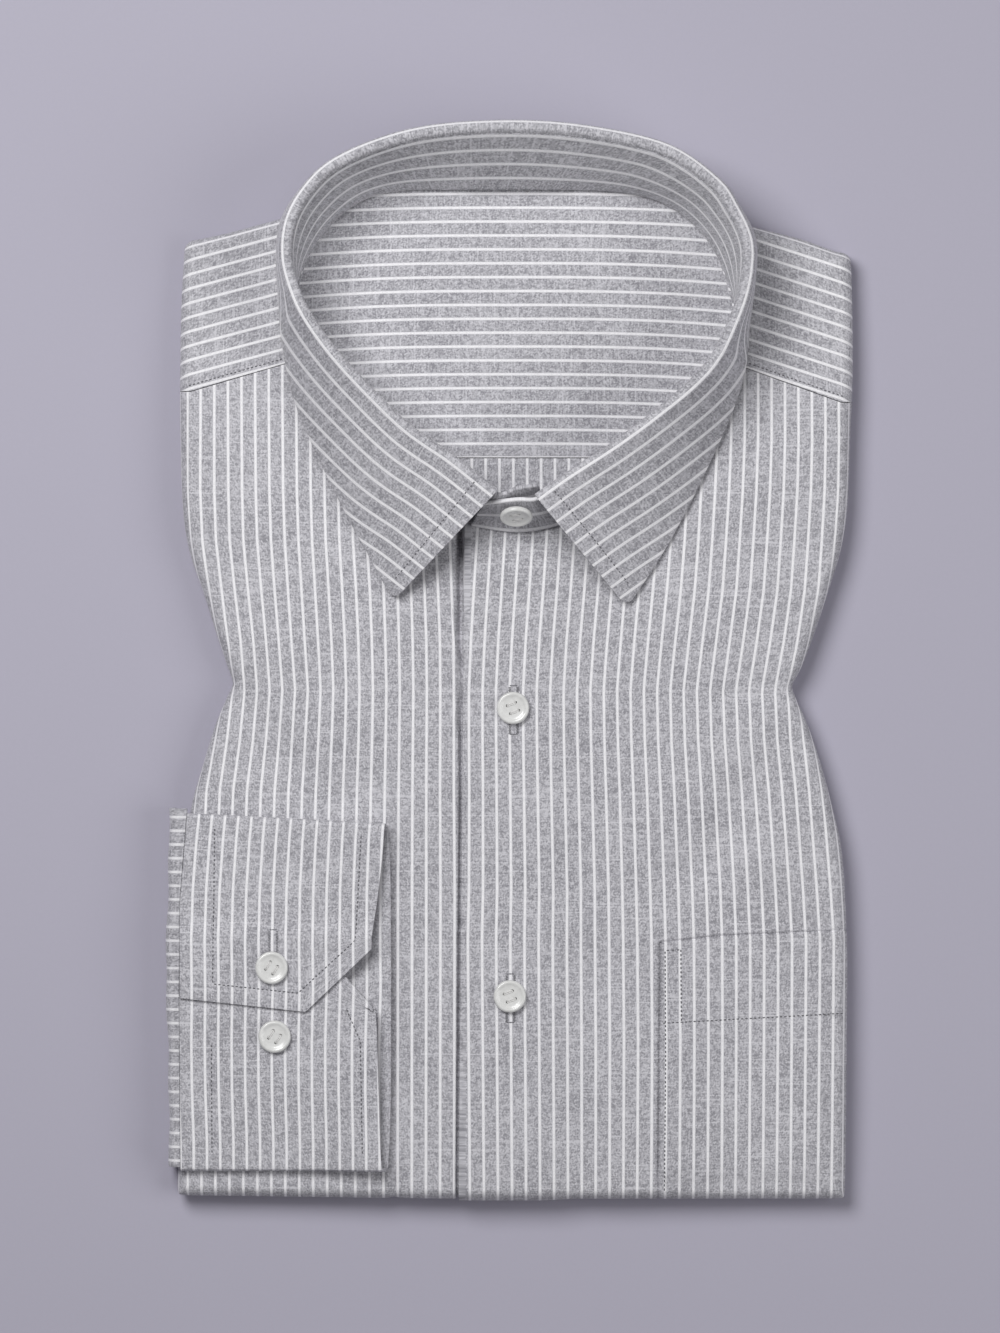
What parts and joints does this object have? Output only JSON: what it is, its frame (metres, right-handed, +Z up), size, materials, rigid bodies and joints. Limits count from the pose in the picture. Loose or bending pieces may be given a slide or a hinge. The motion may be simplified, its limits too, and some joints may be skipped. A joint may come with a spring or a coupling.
{
  "type": "folded dress shirt",
  "caption": "Folded long-sleeved dress shirt lying face up: standing collar, buttoned front, chest pocket and a turned cuff laid across the front.",
  "frame": {"origin": "centre of the bounding box at the underside, on the surface the shirt lies on", "axes": "+X to the wearer's left (the right-hand side of a viewer at the bottom fold), +Y from the bottom fold to the collar, +Z up"},
  "size_m": [0.24, 0.3787, 0.046],
  "materials": {
    "shirt_cloth": "matt cotton with thin pale stripes",
    "hidden_cloth": "matt cotton",
    "button": "pearly polish"
  },
  "bodies": {
    "root": {"folded_core": "hidden_cloth", "front_right": "shirt_cloth", "front_left": "shirt_cloth", "pocket": "shirt_cloth", "yoke_outer": "shirt_cloth", "yoke_inner": "shirt_cloth", "back_panel": "shirt_cloth", "collar_leaf": "shirt_cloth", "collar_stand": "shirt_cloth", "cuff": "shirt_cloth", "sleeve": "shirt_cloth", "button_collar": "button", "button_front_upper": "button", "button_front_lower": "button", "button_cuff_upper": "button", "button_cuff_lower": "button"}
  },
  "joints": []
}
